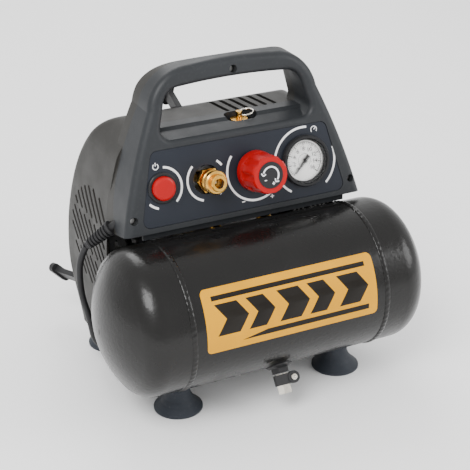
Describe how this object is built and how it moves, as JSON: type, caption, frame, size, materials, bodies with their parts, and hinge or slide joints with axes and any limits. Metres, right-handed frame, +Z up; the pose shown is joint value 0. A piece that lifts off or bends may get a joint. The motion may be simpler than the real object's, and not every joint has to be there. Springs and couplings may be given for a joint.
{
  "type": "air compressor",
  "caption": "Portable oil-free air compressor: horizontal cylindrical tank on rubber feet, plastic housing with carrying handle, control panel, gauge, coupler and side vents.",
  "frame": {"origin": "centre of the object's footprint, on the floor", "axes": "+X to the right seen from the front, along the tank and the motor shaft; -Y the front, with the control panel; +Z up"},
  "size_m": [0.358, 0.4137, 0.35],
  "materials": {
    "tank_paint": "satin black stoved paint, orange peel",
    "front_plastic": "fine moulded texture, blue-grey",
    "shroud_plastic": "fine moulded texture, warm grey",
    "panel_print": "printed film, blue-grey",
    "label_foil": "printed foil, amber and black",
    "foot_rubber": "moulded rubber",
    "cord_rubber": "smooth PVC",
    "black_plastic": "moulded",
    "red_plastic": "moulded",
    "brass": "turned",
    "nickel": "nickel plate",
    "zinc_steel": "zinc plated",
    "lamination_steel": "stacked laminations",
    "copper": "enamelled copper wire",
    "cast_aluminium": "die cast",
    "ptfe_piston": "machined",
    "black_steel": "black paint",
    "dial_white": "printed card",
    "clear_lens": "clear polycarbonate",
    "white_plastic": "moulded"
  },
  "bodies": {
    "chassis": {"tank_barrel": "tank_paint", "tank_end_left": "tank_paint", "tank_end_right": "tank_paint", "tank_weld_beads": "tank_paint", "tank_label": "label_foil", "base_plate": "black_steel", "tank_brackets": "black_steel", "rubber_feet": "foot_rubber", "foot_studs": "zinc_steel", "front_shell": "front_plastic", "rear_shell": "shroud_plastic", "control_panel": "panel_print", "shell_screws": "zinc_steel", "cord_hooks": "black_plastic", "button_bezel": "black_plastic", "pressure_switch": "black_plastic", "coupler_body": "brass", "regulator_body": "cast_aluminium", "gauge_case": "black_plastic", "gauge_dial": "dial_white", "gauge_lens": "clear_lens", "manifold": "cast_aluminium", "tank_fittings": "brass", "safety_valve_body": "brass", "safety_valve_spring": "zinc_steel", "motor_stator": "lamination_steel", "motor_windings": "copper", "end_bell_left": "cast_aluminium", "crankcase": "cast_aluminium", "ball_bearings": "zinc_steel", "cylinder": "cast_aluminium", "cylinder_head": "cast_aluminium", "head_bolts": "zinc_steel", "intake_filter": "black_plastic", "delivery_pipe": "copper", "motor_mounts": "black_steel", "capacitor": "white_plastic", "drain_boss": "black_steel", "drain_body": "nickel", "strain_relief": "cord_rubber", "power_cord": "cord_rubber", "cord_tail": "cord_rubber", "cord_coil": "cord_rubber", "coil_tie": "black_plastic", "plug_body": "cord_rubber", "plug_pins": "nickel"},
    "start_button": {"start_button": "red_plastic"},
    "coupler_sleeve": {"coupler_sleeve": "brass"},
    "regulator": {"regulator_knob": "red_plastic", "knob_cap": "black_plastic", "regulator_stem": "brass"},
    "gauge_needle": {"gauge_needle": "black_steel"},
    "valve_stem": {"safety_valve_stem": "brass"},
    "pull_ring": {"pull_ring": "nickel"},
    "motor_shaft": {"motor_shaft": "zinc_steel", "motor_rotor": "lamination_steel", "cooling_fan": "black_plastic", "crank": "lamination_steel"},
    "piston": {"piston_rod": "ptfe_piston"},
    "drain_lever": {"drain_lever": "black_plastic"}
  },
  "joints": [
    {"name": "button_press", "type": "slide", "parent": "chassis", "child": "start_button", "axis": [0, 0.9747, -0.2235], "range_m": [0, 0.0035], "stiffness_N_per_m": 800},
    {"name": "sleeve_pull", "type": "slide", "parent": "chassis", "child": "coupler_sleeve", "axis": [0, 0.9747, -0.2235], "range_m": [0, 0.003], "stiffness_N_per_m": 1500},
    {"name": "regulator_turn", "type": "hinge", "parent": "chassis", "child": "regulator", "pos_m": [0.0125, -0.04776, 0.234], "axis": [0, 0.9747, -0.2235], "range_deg": [0, 1080]},
    {"name": "needle_swing", "type": "hinge", "parent": "chassis", "child": "gauge_needle", "pos_m": [0.072, -0.04776, 0.234], "axis": [0, 0.9747, -0.2235], "range_deg": [0, 270], "stiffness_Nm_per_rad": 0.0002},
    {"name": "valve_lift", "type": "slide", "parent": "chassis", "child": "valve_stem", "axis": [0, 0, 1], "range_m": [0, 0.002], "stiffness_N_per_m": 3000, "deforming": ["safety_valve_spring"]},
    {"name": "ring_swing", "type": "hinge", "parent": "valve_stem", "child": "pull_ring", "pos_m": [0.0125, -0.01132, 0.2835], "axis": [0, -1, 0], "range_deg": [0, 80]},
    {"name": "shaft_spin", "type": "hinge", "parent": "chassis", "child": "motor_shaft", "pos_m": [0, 0.05518, 0.128], "axis": [1, 0, 0], "continuous": true},
    {"name": "piston_stroke", "type": "slide", "parent": "chassis", "child": "piston", "axis": [0, 0, 1], "range_m": [0, 0.016]},
    {"name": "drain_turn", "type": "hinge", "parent": "chassis", "child": "drain_lever", "pos_m": [0.008, -0.14443, 0.04022], "axis": [0, -0.8192, 0.5736], "range_deg": [0, 90]}
  ]
}
